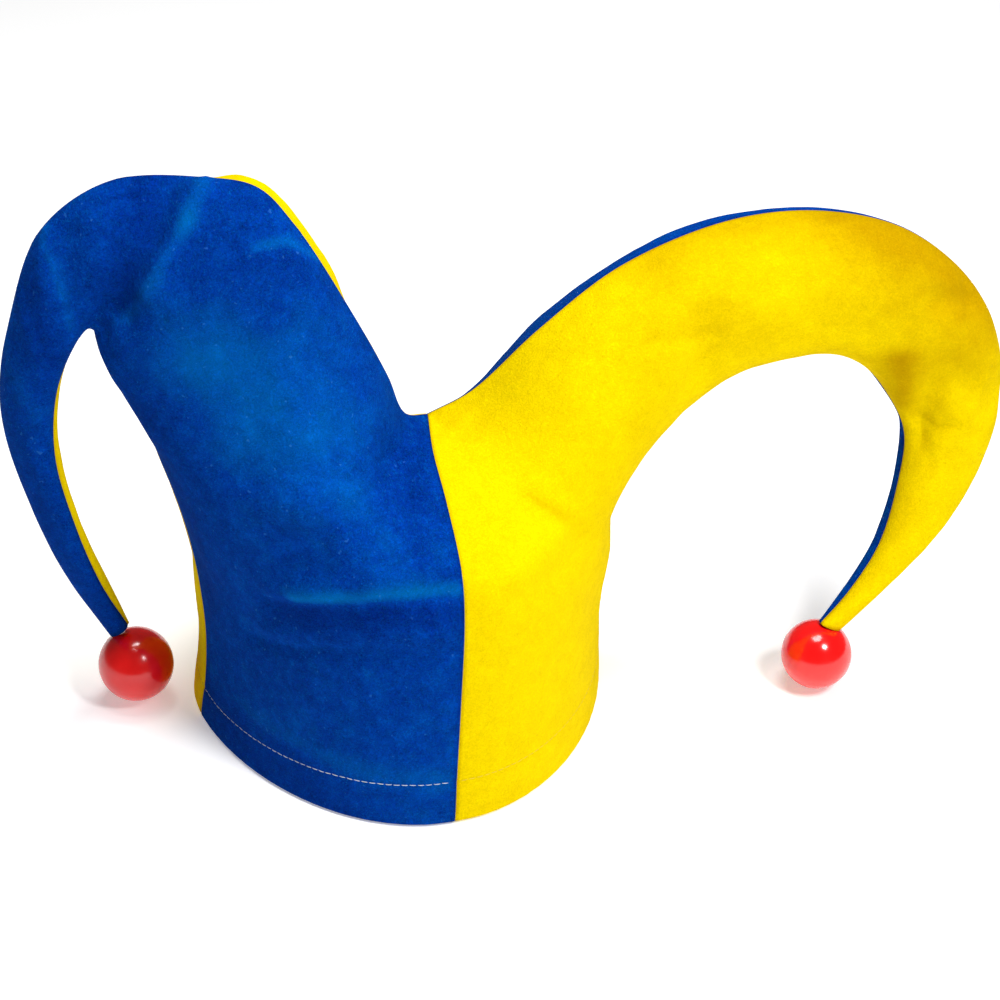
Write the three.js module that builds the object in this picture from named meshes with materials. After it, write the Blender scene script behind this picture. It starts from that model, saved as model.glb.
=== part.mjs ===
// Two-horned jester hat, sewn from four felt panels, with a red ball on each horn's tip.
// Millimetres, +Z up. The hat stands on its rim, and its front faces -Y.
import * as THREE from 'three';

// Crown
const RIM_WIDTH = 188.5;
const RIM_DEPTH = 208;
const VALLEY_HEIGHT = 150;
const HEM_HEIGHT = 20;

// Horns: how far they reach past the rim's side, and how far they rise above the valley between them
const LEFT_OVERHANG = 69.5;
const LEFT_RISE = 119;
const RIGHT_OVERHANG = 176;
const RIGHT_RISE = 76;
const HORN_DEPTH = 120;

// Felt and seams
const FELT_THICKNESS = 1.5;
const HEM_LAYERS = 2;
const HEM_EDGE = 1.2;
const SEAM_GAP = 0.3;

// Balls
const BALL_DIAMETER_LEFT = 34;
const BALL_DIAMETER_RIGHT = 32;
const BALL_WALL = 1.2;
const THREAD_HOLE = 2.6;
const BALL_GAP = 0.3;

// Fineness of the faceted surfaces
const CROWN_STEPS = 2;
const HORN_STEPS = 3;
const ACROSS_STEPS = 10;
const BALL_SIDES = 16;
const BALL_RINGS = 9;

const LEFT = -1;
const RIGHT = 1;
const FRONT = -1;
const BACK = 1;

// The seam down the middle of the front and of the back, from the rim up to the valley.
// sway: share of half the rim's width. out: share of half its depth. up: share of the valley's height.
const HEM_TOP_ROW = 1;
const HEM_UP = HEM_HEIGHT / VALLEY_HEIGHT;
const CENTRE_SEAM = [
  { sway: -0.01, frontOut: 1.00, frontUp: 0, backOut: 1.00, backUp: 0 },
  { sway: 0.00, frontOut: 1.00, frontUp: HEM_UP, backOut: 1.00, backUp: HEM_UP },
  { sway: 0.03, frontOut: 0.98, frontUp: 0.40, backOut: 0.98, backUp: 0.30 },
  { sway: 0.06, frontOut: 0.945, frontUp: 0.68, backOut: 0.935, backUp: 0.46 },
  { sway: 0.066, frontOut: 0.88, frontUp: 0.80, backOut: 0.82, backUp: 0.57 },
  { sway: 0.062, frontOut: 0.66, frontUp: 0.93, backOut: 0.55, backUp: 0.695 },
  { sway: 0.07, frontOut: 0.42, frontUp: 0.99, backOut: 0.22, backUp: 0.83 },
  { sway: 0.12, frontOut: 0.136, frontUp: 1.00, backOut: -0.136, backUp: 1.00 },
];

// The crown's side seam and the round of the panel between it and the seam in the middle.
// out: share of half the rim's width. up: share of the height where the horn leaves the side.
// lean: share of half the rim's depth. open: 1 where the wall is the open crown, 0 where it is a horn.
// front, back: how far the panels bulge, as shares of half the horns' depth.
// fall: how far the back bulge drops for each unit that it goes back.
const LEFT_CROWN = [
  { out: 0.995, up: 0, lean: 0, open: 1.00, front: 0, back: 0, top: 0, fall: 0 },
  { out: 0.96, up: 0, lean: 0, open: 1.00, front: 0, back: 0, top: 0, fall: 0 },
  { out: 0.94, up: 0.30, lean: 0, open: 1.00, front: 0, back: 0, top: 0, fall: 0 },
  { out: 0.95, up: 0.47, lean: -0.01, open: 1.00, front: 0, back: 0, top: 0, fall: 0 },
  { out: 0.97, up: 0.60, lean: -0.02, open: 0.95, front: 0.2, back: 0.26, top: 0.1, fall: 0.2 },
  { out: 1.00, up: 0.72, lean: -0.03, open: 0.88, front: 0.49, back: 0.55, top: 0.28, fall: 0.4 },
  { out: 1.04, up: 0.84, lean: -0.04, open: 0.78, front: 0.625, back: 0.68, top: 0.8, fall: 0.6 },
  { out: 1.08, up: 0.935, lean: -0.05, open: 0.65, front: 0.62, back: 0.66, top: 1.95, fall: 0.62 },
];
const RIGHT_CROWN = [
  { out: 0.995, up: 0, lean: 0, open: 1.00, front: 0, back: 0, top: 0, fall: 0 },
  { out: 0.99, up: 0, lean: 0, open: 1.00, front: 0, back: 0, top: 0, fall: 0 },
  { out: 0.99, up: 0.35, lean: 0, open: 1.00, front: 0, back: 0, top: 0, fall: 0 },
  { out: 1.00, up: 0.50, lean: -0.01, open: 1.00, front: 0, back: 0, top: 0, fall: 0 },
  { out: 1.00, up: 0.625, lean: -0.02, open: 0.95, front: 0.2, back: 0.26, top: 0.1, fall: 0.2 },
  { out: 0.99, up: 0.74, lean: -0.04, open: 0.88, front: 0.47, back: 0.53, top: 0.28, fall: 0.4 },
  { out: 0.98, up: 0.845, lean: -0.06, open: 0.78, front: 0.6, back: 0.66, top: 0.8, fall: 0.6 },
  { out: 0.985, up: 0.94, lean: -0.08, open: 0.65, front: 0.6, back: 0.64, top: 1.95, fall: 0.62 },
];

// The horns' sections, from the crown out to the tip. Each section runs from the seam under the
// horn to the seam along its ridge.
// ridgeOut: share of the reach from the middle. underOut: share of the overhang past the rim's side.
// ridgeUp, underUp: shares of the horn's rise, from the valley's height. Lean, front, back, fall: as above.
const LEFT_HORN = [
  { ridgeOut: -0.012, ridgeUp: 0.022, ridgeLean: -0.155, underOut: 0.145, underUp: -0.02, underLean: -0.055,
    open: 0.43, front: 0.62, back: 0.66, top: 1.78, fall: 0.65, tuck: 0, crest: 0 },
  { ridgeOut: 0.037, ridgeUp: 0.20, ridgeLean: -0.19, underOut: 0.205, underUp: 0.07, underLean: -0.06,
    open: 0.23, front: 0.58, back: 0.62, top: 1.48, fall: 0.62, tuck: 0, crest: 0.08 },
  { ridgeOut: 0.13, ridgeUp: 0.49, ridgeLean: -0.25, underOut: 0.315, underUp: 0.22, underLean: -0.06,
    open: 0.1, front: 0.45, back: 0.54, top: 1.17, fall: 0.45, tuck: 0, crest: 0.17 },
  { ridgeOut: 0.265, ridgeUp: 0.85, ridgeLean: -0.26, underOut: 0.41, underUp: 0.375, underLean: -0.05,
    open: 0, front: 0.4, back: 0.49, top: 1.05, fall: 0.25, tuck: 0, crest: 0.17 },
  { ridgeOut: 0.338, ridgeUp: 0.962, ridgeLean: -0.18, underOut: 0.425, underUp: 0.425, underLean: -0.04,
    open: 0, front: 0.38, back: 0.45, top: 1, fall: 0.15, tuck: 0, crest: 0.12 },
  { ridgeOut: 0.45, ridgeUp: 0.97, ridgeLean: -0.05, underOut: 0.435, underUp: 0.455, underLean: -0.04,
    open: 0, front: 0.36, back: 0.38, top: 1, fall: 0.10, tuck: 0, crest: 0.05 },
  { ridgeOut: 0.68, ridgeUp: 0.96, ridgeLean: 0.04, underOut: 0.465, underUp: 0.455, underLean: -0.03,
    open: 0, front: 0.31, back: 0.31, top: 1, fall: 0, tuck: 0, crest: 0 },
  { ridgeOut: 0.855, ridgeUp: 0.80, ridgeLean: 0.07, underOut: 0.535, underUp: 0.39, underLean: -0.01,
    open: 0, front: 0.27, back: 0.27, top: 1, fall: 0, tuck: 0.06, crest: 0 },
  { ridgeOut: 0.95, ridgeUp: 0.48, ridgeLean: 0.10, underOut: 0.665, underUp: 0.225, underLean: -0.02,
    open: 0, front: 0.22, back: 0.23, top: 1, fall: 0, tuck: 0.14, crest: 0 },
  { ridgeOut: 0.998, ridgeUp: 0.115, ridgeLean: 0.155, underOut: 0.72, underUp: -0.04, underLean: 0,
    open: 0, front: 0.18, back: 0.19, top: 1, fall: 0, tuck: 0.16, crest: 0 },
  { ridgeOut: 0.955, ridgeUp: -0.275, ridgeLean: 0.20, underOut: 0.64, underUp: -0.375, underLean: 0.03,
    open: 0, front: 0.15, back: 0.16, top: 1, fall: 0, tuck: 0.16, crest: 0 },
  { ridgeOut: 0.872, ridgeUp: -0.665, ridgeLean: 0.25, underOut: 0.52, underUp: -0.67, underLean: 0.10,
    open: 0, front: 0.11, back: 0.12, top: 1, fall: 0, tuck: 0.15, crest: 0 },
  { ridgeOut: 0.782, ridgeUp: -0.98, ridgeLean: 0.265, underOut: 0.37, underUp: -0.92, underLean: 0.20,
    open: 0, front: 0.065, back: 0.065, top: 1, fall: 0, tuck: 0.1, crest: 0 },
];
const RIGHT_HORN = [
  { ridgeOut: 0.108, ridgeUp: 0.14, ridgeLean: -0.175, underOut: -0.01, underUp: -0.71, underLean: -0.09,
    open: 0.4, front: 0.6, back: 0.64, top: 1.75, fall: 0.60, tuck: 0, crest: 0.1 },
  { ridgeOut: 0.215, ridgeUp: 0.495, ridgeLean: -0.20, underOut: 0.10, underUp: -0.29, underLean: -0.11,
    open: 0.2, front: 0.52, back: 0.56, top: 1.35, fall: 0.45, tuck: 0, crest: 0.15 },
  { ridgeOut: 0.35, ridgeUp: 0.81, ridgeLean: -0.18, underOut: 0.26, underUp: 0.01, underLean: -0.135,
    open: 0.08, front: 0.46, back: 0.48, top: 1.12, fall: 0.25, tuck: 0, crest: 0.12 },
  { ridgeOut: 0.546, ridgeUp: 0.955, ridgeLean: -0.10, underOut: 0.405, underUp: 0.095, underLean: -0.165,
    open: 0, front: 0.43, back: 0.44, top: 1.03, fall: 0.10, tuck: 0, crest: 0.04 },
  { ridgeOut: 0.706, ridgeUp: 0.93, ridgeLean: -0.10, underOut: 0.55, underUp: 0.085, underLean: -0.185,
    open: 0, front: 0.4, back: 0.4, top: 1, fall: 0, tuck: 0, crest: 0 },
  { ridgeOut: 0.838, ridgeUp: 0.78, ridgeLean: -0.155, underOut: 0.64, underUp: -0.02, underLean: -0.205,
    open: 0, front: 0.36, back: 0.36, top: 1, fall: 0, tuck: 0, crest: 0 },
  { ridgeOut: 0.949, ridgeUp: 0.42, ridgeLean: -0.215, underOut: 0.697, underUp: -0.185, underLean: -0.245,
    open: 0, front: 0.33, back: 0.33, top: 1, fall: 0, tuck: 0.02, crest: 0 },
  { ridgeOut: 0.995, ridgeUp: 0.005, ridgeLean: -0.26, underOut: 0.748, underUp: -0.445, underLean: -0.28,
    open: 0, front: 0.29, back: 0.29, top: 1, fall: 0, tuck: 0.01, crest: 0 },
  { ridgeOut: 0.988, ridgeUp: -0.425, ridgeLean: -0.31, underOut: 0.727, underUp: -0.755, underLean: -0.34,
    open: 0, front: 0.25, back: 0.25, top: 1, fall: 0, tuck: 0.01, crest: 0 },
  { ridgeOut: 0.93, ridgeUp: -0.905, ridgeLean: -0.36, underOut: 0.675, underUp: -1.105, underLean: -0.40,
    open: 0, front: 0.2, back: 0.2, top: 1, fall: 0, tuck: 0.02, crest: 0 },
  { ridgeOut: 0.838, ridgeUp: -1.24, ridgeLean: -0.415, underOut: 0.595, underUp: -1.35, underLean: -0.445,
    open: 0, front: 0.14, back: 0.14, top: 1, fall: 0, tuck: 0.03, crest: 0 },
  { ridgeOut: 0.715, ridgeUp: -1.57, ridgeLean: -0.50, underOut: 0.505, underUp: -1.505, underLean: -0.505,
    open: 0, front: 0.065, back: 0.065, top: 1, fall: 0, tuck: 0.06, crest: 0 },
];

// The main folds and dents in the felt. Each runs straight between two places on one panel, given
// as a row of the tables above and a share of the way across from the side seam.
// width: how wide the fold is. height: how far it stands out, or in if negative. Both are shares of
// the horns' depth.
const FOLDS = [
  { side: LEFT, face: FRONT, row: 13.0, across: 0.90, toRow: 12.9, toAcross: 0.46, width: 0.075, height: 0.024 },
  { side: LEFT, face: FRONT, row: 13.7, across: 0.85, toRow: 13.5, toAcross: 0.34, width: 0.075, height: -0.026 },
  { side: LEFT, face: FRONT, row: 14.7, across: 0.79, toRow: 14.8, toAcross: 0.40, width: 0.065, height: -0.018 },
  { side: LEFT, face: FRONT, row: 13.9, across: 0.30, toRow: 13.5, toAcross: 0.16, width: 0.050, height: -0.014 },
  { side: LEFT, face: FRONT, row: 9.7, across: 0.63, toRow: 7.8, toAcross: 0.57, width: 0.110, height: 0.022 },
  { side: LEFT, face: FRONT, row: 6.0, across: 0.62, toRow: 4.3, toAcross: 0.77, width: 0.095, height: 0.018 },
  { side: LEFT, face: FRONT, row: 4.0, across: 0.50, toRow: 3.4, toAcross: 0.92, width: 0.080, height: 0.014 },
  { side: LEFT, face: FRONT, row: 7.6, across: 0.86, toRow: 6.0, toAcross: 0.84, width: 0.070, height: -0.022 },
  { side: RIGHT, face: FRONT, row: 3.5, across: 0.92, toRow: 5.1, toAcross: 0.60, width: 0.075, height: 0.018 },
  { side: RIGHT, face: FRONT, row: 9.9, across: 0.40, toRow: 10.3, toAcross: 0.60, width: 0.065, height: -0.020 },
  { side: RIGHT, face: FRONT, row: 15.0, across: 0.14, toRow: 14.2, toAcross: 0.34, width: 0.060, height: -0.022 },
  { side: RIGHT, face: FRONT, row: 14.1, across: 0.45, toRow: 15.3, toAcross: 0.74, width: 0.065, height: -0.018 },
  { side: RIGHT, face: FRONT, row: 13.9, across: 0.82, toRow: 13.4, toAcross: 0.66, width: 0.050, height: -0.012 },
  { side: LEFT, face: BACK, row: 12.8, across: 0.80, toRow: 12.9, toAcross: 0.36, width: 0.080, height: -0.022 },
  { side: LEFT, face: BACK, row: 4.2, across: 0.40, toRow: 4.0, toAcross: 0.84, width: 0.090, height: 0.016 },
  { side: RIGHT, face: BACK, row: 4.1, across: 0.40, toRow: 4.0, toAcross: 0.84, width: 0.090, height: 0.016 },
  { side: RIGHT, face: BACK, row: 14.6, across: 0.16, toRow: 14.4, toAcross: 0.62, width: 0.070, height: -0.020 },
];
const FOLD_FADE = 0.15;

// The felt is stiff, so sharp hollows where the horns leave the crown are eased out, between these
// two rows. The seams stay put.
const EASE_FROM_ROW = 3.4;
const EASE_TO_ROW = 10.1;
const EASE_ROUNDS = 24;
const EASE_OUT = 0.5;
const EASE_BACK = -0.515;

// How round the crown is between its seams: the share of the way that each end of the curve
// runs straight, and how far the side seam is pinched in, as a share of half the rim's width.
const ROUND_AT_SIDE = 0.51;
const ROUND_AT_CENTRE = 0.49;
const PINCH = { [FRONT]: 0.095, [BACK]: -0.07 };
const FRONT_TUCK = 0.4;

// A cubic curve with both handles 4/3 of its bulge long reaches just that bulge.
const BULGE_HANDLE = 4 / 3;

const SIDES = {
  [LEFT]: {
    overhang: LEFT_OVERHANG, rise: LEFT_RISE, crown: LEFT_CROWN, horn: LEFT_HORN, ball: BALL_DIAMETER_LEFT,
  },
  [RIGHT]: {
    overhang: RIGHT_OVERHANG, rise: RIGHT_RISE, crown: RIGHT_CROWN, horn: RIGHT_HORN, ball: BALL_DIAMETER_RIGHT,
  },
};

// Each ball hangs from its horn's tip, in this direction.
const BALL_HANG = {
  [LEFT]: new THREE.Vector3(0.30, -0.22, -0.95).normalize(),
  [RIGHT]: new THREE.Vector3(-0.32, 0.04, -0.93).normalize(),
};

const FELT_BLUE = new THREE.MeshStandardMaterial({ color: 0x0a3f9e, roughness: 0.95, metalness: 0 });
const FELT_YELLOW = new THREE.MeshStandardMaterial({ color: 0xf7dc08, roughness: 0.95, metalness: 0 });
const BALL_RED = new THREE.MeshStandardMaterial({ color: 0xe02222, roughness: 0.2, metalness: 0 });

// One crown section: its two seam points and the two handles between them.
function crownSection(side, face, level) {
  const { rise, crown, horn } = SIDES[side];
  const row = crown[level];
  const seam = CENTRE_SEAM[level];
  const halfWidth = RIM_WIDTH / 2;
  const halfDepth = RIM_DEPTH / 2;
  const sideHeight = VALLEY_HEIGHT + horn[0].underUp * rise;
  const sideUp = level === HEM_TOP_ROW ? HEM_HEIGHT : row.up * sideHeight;
  const centreOut = face === FRONT ? seam.frontOut : seam.backOut;
  const centreUp = face === FRONT ? seam.frontUp : seam.backUp;
  const under = new THREE.Vector3(side * row.out * halfWidth, row.lean * halfDepth, sideUp);
  const ridge = new THREE.Vector3(seam.sway * halfWidth, face * centreOut * halfDepth, centreUp * VALLEY_HEIGHT);

  const bulge = (face === FRONT ? row.front : row.back) * HORN_DEPTH / 2 * BULGE_HANDLE;
  const drop = face === BACK ? row.fall * bulge : 0;
  const roundSide = row.open * ROUND_AT_SIDE * Math.abs(ridge.y - under.y);
  const roundCentre = row.open * ROUND_AT_CENTRE * Math.abs(ridge.x - under.x);
  const pinch = Math.max(0, 1 - 2 * row.top) * PINCH[face] * halfWidth;
  const nearUnder = under.clone().add(new THREE.Vector3(-side * pinch, face * (roundSide + bulge), -drop));
  const nearRidge = ridge.clone().add(new THREE.Vector3(side * roundCentre, face * row.top * bulge, -drop * row.top));
  return [under, nearUnder, nearRidge, ridge];
}

// The direction across a horn's section, square to the line between its two seams.
function acrossHorn(under, ridge) {
  const chord = ridge.clone().sub(under).normalize();
  const across = new THREE.Vector3(0, 1, 0);
  return across.addScaledVector(chord, -across.dot(chord)).normalize();
}

// One horn section, in the same form as a crown section.
function hornSection(side, face, row) {
  const { overhang, rise } = SIDES[side];
  const halfWidth = RIM_WIDTH / 2;
  const halfDepth = RIM_DEPTH / 2;
  const reach = halfWidth + overhang;
  const ridge = new THREE.Vector3(
    side * row.ridgeOut * reach, row.ridgeLean * halfDepth, VALLEY_HEIGHT + row.ridgeUp * rise);
  const under = new THREE.Vector3(
    side * (halfWidth + row.underOut * overhang), row.underLean * halfDepth, VALLEY_HEIGHT + row.underUp * rise);
  const bulge = (face === FRONT ? row.front : row.back) * HORN_DEPTH / 2 * BULGE_HANDLE;
  const chord = ridge.clone().sub(under);
  const across = acrossHorn(under, ridge).lerp(new THREE.Vector3(0, 1, 0), Math.min(1, 2 * row.open));
  if (face === BACK) across.z -= row.fall;
  const offset = across.multiplyScalar(face * bulge);
  const tuck = face === FRONT ? row.tuck * FRONT_TUCK : -row.tuck;
  const nearUnder = under.clone().add(offset).addScaledVector(chord, tuck);
  const nearRidge = ridge.clone().addScaledVector(offset, row.top);
  nearRidge.addScaledVector(chord, (face === BACK ? row.crest : 0) - row.open * ROUND_AT_CENTRE);
  return [under, nearUnder, nearRidge, ridge];
}

// A smooth line through a list of points, read by row number.
function smoothRail(points) {
  const curve = new THREE.CatmullRomCurve3(points, false, 'centripetal');
  return (row) => curve.getPoint(row / (points.length - 1));
}

// Two smooth lines that meet in a corner.
function corneredRail(points, corner) {
  const before = smoothRail(points.slice(0, corner + 1));
  const after = smoothRail(points.slice(corner));
  return (row) => (row <= corner ? before(row) : after(row - corner));
}

// Four rails that run from the rim to the horn's tip. The last one, which follows the seam in the
// middle and then the ridge, turns a corner in the valley.
function panelRails(side, face) {
  const { crown, horn } = SIDES[side];
  const sections = [
    ...crown.map((row, level) => crownSection(side, face, level)),
    ...horn.map((row) => hornSection(side, face, row)),
  ];
  const points = [0, 1, 2, 3].map((k) => sections.map((section) => section[k]));
  const rails = points.slice(0, 3).map(smoothRail);
  return [...rails, corneredRail(points[3], crown.length - 1)];
}

// The row numbers where the surface gets a line of points. The hem's top has two close together.
function surfaceRows(side) {
  const valley = SIDES[side].crown.length - 1;
  const last = valley + SIDES[side].horn.length;
  const hemEdge = HEM_TOP_ROW + HEM_EDGE / (CENTRE_SEAM[2].frontUp * VALLEY_HEIGHT - HEM_HEIGHT);
  const rows = [];
  for (let row = 0; row < last; row += 1) {
    const steps = row < valley ? CROWN_STEPS : HORN_STEPS;
    for (let step = 0; step < steps; step += 1) {
      rows.push(row + step / steps);
      if (row === HEM_TOP_ROW && step === 0) rows.push(hemEdge);
    }
  }
  return [...rows, last];
}

// The panel's outer skin, as rows of points from the side seam across to the middle or ridge.
function outerSkin(side, face) {
  const rails = panelRails(side, face);
  const sectionAt = (row) => new THREE.CubicBezierCurve3(...rails.map((rail) => rail(row)));
  const surface = surfaceRows(side);
  const valleyRow = surface.indexOf(SIDES[side].crown.length - 1);
  const smooth = eased(surface.map((row) => sectionAt(row).getPoints(ACROSS_STEPS)), surface);
  const folds = FOLDS.filter((fold) => fold.side === side && fold.face === face).map((fold) => {
    const start = sectionAt(fold.row).getPoint(fold.across);
    const end = sectionAt(fold.toRow).getPoint(fold.toAcross);
    return { ...fold, line: new THREE.Line3(start, end) };
  });
  const shift = new THREE.Vector3(side * SEAM_GAP / 2, face * SEAM_GAP / 2, 0);
  return smooth.map((line, i) => line.map((point, j) => {
    const across = j / ACROSS_STEPS;
    const fade = Math.min(1, across / FOLD_FADE, (1 - across) / FOLD_FADE);
    const lift = folds.reduce((sum, fold) => sum + foldLift(fold, point), 0) * fade;
    return point.clone().addScaledVector(outward(smooth, i, j, side, face, valleyRow), lift).add(shift);
  }));
}

// The skin with each inner point near the horn's base drawn towards its neighbours, then back, so
// that hollows fill but nothing shrinks. Near neighbours count for more.
function eased(skin, surface) {
  let now = skin;
  for (let round = 0; round < 2 * EASE_ROUNDS; round += 1) {
    const share = round % 2 === 0 ? EASE_OUT : EASE_BACK;
    const before = now;
    now = before.map((line, i) => line.map((point, j) => {
      const inner = j > 0 && j < line.length - 1;
      if (!inner || surface[i] < EASE_FROM_ROW || surface[i] > EASE_TO_ROW) return point;
      const mean = new THREE.Vector3();
      let total = 0;
      for (const near of [before[i - 1][j], before[i + 1][j], line[j - 1], line[j + 1]]) {
        const weight = 1 / near.distanceTo(point);
        mean.addScaledVector(near, weight);
        total += weight;
      }
      return point.clone().lerp(mean.divideScalar(total), share);
    }));
  }
  return now;
}

// How far one fold lifts the felt at a point.
function foldLift(fold, point) {
  const distance = fold.line.closestPointToPoint(point, true, new THREE.Vector3()).distanceTo(point);
  return fold.height * HORN_DEPTH * Math.exp(-((distance / (fold.width * HORN_DEPTH)) ** 2));
}

// The direction out of the felt at one point of the skin. At a seam it keeps to the seam's own
// plane, and at the rim it is level, so that neighbouring panels never meet.
function outward(skin, i, j, side, face, valleyRow) {
  const lastRow = skin.length - 1;
  const lastColumn = ACROSS_STEPS;
  const along = skin[Math.min(i + 1, lastRow)][j].clone().sub(skin[Math.max(i - 1, 0)][j]);
  const over = skin[i][Math.min(j + 1, lastColumn)].clone().sub(skin[i][Math.max(j - 1, 0)]);
  const normal = over.cross(along).multiplyScalar(side * face).normalize();
  const inHorn = i > valleyRow;
  if (i === 0) normal.z = 0;
  if (j === 0 && !inHorn) normal.y = 0;
  if (j === lastColumn && i <= valleyRow) normal.x = 0;
  if (j === lastColumn && i === valleyRow) normal.y = 0;
  if (inHorn && (j === 0 || j === lastColumn)) {
    const across = acrossHorn(skin[i][0], skin[i][lastColumn]);
    normal.addScaledVector(across, -normal.dot(across));
  }
  return normal.normalize();
}

// A closed felt wall: the outer skin, the inner skin one wall in, and the four edges between them.
function panelGeometry(side, face) {
  const skin = outerSkin(side, face);
  const surface = surfaceRows(side);
  const valleyRow = surface.indexOf(SIDES[side].crown.length - 1);
  const inner = skin.map((line, i) => line.map((point, j) => {
    const layers = surface[i] <= HEM_TOP_ROW ? HEM_LAYERS : 1;
    return point.clone().addScaledVector(outward(skin, i, j, side, face, valleyRow), -layers * FELT_THICKNESS);
  }));
  const rows = skin.length;
  const columns = ACROSS_STEPS + 1;
  const positions = [...skin.flat(), ...inner.flat()].flatMap((point) => point.toArray());
  const outerAt = (i, j) => i * columns + j;
  const innerAt = (i, j) => rows * columns + outerAt(i, j);
  const faces = [];
  const quad = (a, b, c, d) => {
    if (side * face > 0) faces.push(a, b, c, a, c, d);
    else faces.push(a, c, b, a, d, c);
  };
  for (let i = 0; i < rows - 1; i += 1) {
    for (let j = 0; j < columns - 1; j += 1) {
      quad(outerAt(i, j), outerAt(i, j + 1), outerAt(i + 1, j + 1), outerAt(i + 1, j));
      quad(innerAt(i, j), innerAt(i + 1, j), innerAt(i + 1, j + 1), innerAt(i, j + 1));
    }
    quad(outerAt(i, 0), outerAt(i + 1, 0), innerAt(i + 1, 0), innerAt(i, 0));
    quad(outerAt(i + 1, columns - 1), outerAt(i, columns - 1), innerAt(i, columns - 1), innerAt(i + 1, columns - 1));
  }
  for (let j = 0; j < columns - 1; j += 1) {
    quad(outerAt(0, j + 1), outerAt(0, j), innerAt(0, j), innerAt(0, j + 1));
    quad(outerAt(rows - 1, j), outerAt(rows - 1, j + 1), innerAt(rows - 1, j + 1), innerAt(rows - 1, j));
  }
  const geometry = new THREE.BufferGeometry();
  geometry.setAttribute('position', new THREE.Float32BufferAttribute(positions, 3));
  geometry.setIndex(faces);
  geometry.computeVertexNormals();
  return geometry;
}

function panel(name, side, face, material) {
  const mesh = new THREE.Mesh(panelGeometry(side, face), material);
  mesh.name = name;
  return mesh;
}

// A hollow ball with a small hole for its thread, on the +Y axis.
function ballGeometry(diameter) {
  const outer = diameter / 2;
  const inner = outer - BALL_WALL;
  const hole = THREAD_HOLE / 2;
  const arc = (radius) => {
    const end = Math.PI / 2 - Math.asin(hole / radius) + Math.PI / 2;
    return Array.from({ length: BALL_RINGS + 1 }, (_, k) => {
      const angle = end * k / BALL_RINGS;
      return new THREE.Vector2(radius * Math.sin(angle), -radius * Math.cos(angle));
    });
  };
  const profile = [...arc(outer), ...arc(inner).reverse()];
  profile[0].x = 0;
  profile[profile.length - 1].x = 0;
  return new THREE.LatheGeometry(profile, BALL_SIDES);
}

// The ball touches nothing: it is pushed out along its thread until it clears the horn's end.
function ball(name, side) {
  const ends = [FRONT, BACK].flatMap((face) => outerSkin(side, face).slice(-3).flat());
  const tipRow = [FRONT, BACK].flatMap((face) => outerSkin(side, face).slice(-1).flat());
  const tip = tipRow.reduce((sum, point) => sum.add(point), new THREE.Vector3()).divideScalar(tipRow.length);
  const hang = BALL_HANG[side];
  const clear = SIDES[side].ball / 2 + BALL_GAP;
  const reach = Math.max(...ends.map((point) => {
    const offset = point.clone().sub(tip);
    const along = offset.dot(hang);
    const aside = offset.lengthSq() - along * along;
    return aside < clear * clear ? along + Math.sqrt(clear * clear - aside) : 0;
  }));
  const mesh = new THREE.Mesh(ballGeometry(SIDES[side].ball), BALL_RED);
  mesh.name = name;
  mesh.position.copy(tip).addScaledVector(hang, reach);
  mesh.quaternion.setFromUnitVectors(new THREE.Vector3(0, 1, 0), hang.clone().negate());
  return mesh;
}

const hat = new THREE.Group();
hat.add(
  panel('panel_front_left', LEFT, FRONT, FELT_BLUE),
  panel('panel_front_right', RIGHT, FRONT, FELT_YELLOW),
  panel('panel_back_left', LEFT, BACK, FELT_YELLOW),
  panel('panel_back_right', RIGHT, BACK, FELT_BLUE),
  ball('ball_left', LEFT),
  ball('ball_right', RIGHT),
);

// The origin is the middle of the box round the hat, at the floor.
const box = new THREE.Box3().setFromObject(hat, true);
const middle = box.getCenter(new THREE.Vector3());
hat.position.set(-middle.x, -middle.y, -box.min.z);

export default hat;
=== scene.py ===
# Looks of the two-horned jester hat: felt panels with their seams, hem and stitches, and two balls.
# Metres in the part's frame, +Z up, front towards -Y. Sizes and tables are in millimetres and shares.
import math

import bpy
import numpy as np
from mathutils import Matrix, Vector


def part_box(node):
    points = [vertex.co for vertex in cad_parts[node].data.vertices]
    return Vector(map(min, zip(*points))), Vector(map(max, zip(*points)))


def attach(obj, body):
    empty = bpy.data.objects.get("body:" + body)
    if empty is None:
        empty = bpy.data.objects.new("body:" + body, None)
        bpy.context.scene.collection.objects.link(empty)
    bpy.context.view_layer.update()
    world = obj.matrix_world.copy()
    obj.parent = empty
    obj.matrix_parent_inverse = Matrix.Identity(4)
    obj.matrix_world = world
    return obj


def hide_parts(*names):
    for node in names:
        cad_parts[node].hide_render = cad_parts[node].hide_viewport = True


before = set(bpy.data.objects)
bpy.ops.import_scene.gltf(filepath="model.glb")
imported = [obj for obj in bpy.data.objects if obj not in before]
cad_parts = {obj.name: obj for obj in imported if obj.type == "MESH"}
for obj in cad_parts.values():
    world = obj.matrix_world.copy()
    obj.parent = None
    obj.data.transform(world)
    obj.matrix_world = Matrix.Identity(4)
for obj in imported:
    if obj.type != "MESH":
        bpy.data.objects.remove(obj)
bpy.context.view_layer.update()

MM = 0.001
RIM_WIDTH = 188.5
RIM_DEPTH = 208
VALLEY_HEIGHT = 150
HEM_HEIGHT = 20
LEFT_OVERHANG = 69.5
LEFT_RISE = 119
RIGHT_OVERHANG = 176
RIGHT_RISE = 76
HORN_DEPTH = 120
FELT_THICKNESS = 1.5
HEM_EDGE = 1.2
LOOKS_GAP = 0.1
LEFT = -1
RIGHT = 1
FRONT = -1
BACK = 1
HALF_WIDTH = RIM_WIDTH / 2
HALF_DEPTH = RIM_DEPTH / 2
HEM_TOP_ROW = 1
HEM_UP = HEM_HEIGHT / VALLEY_HEIGHT
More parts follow.
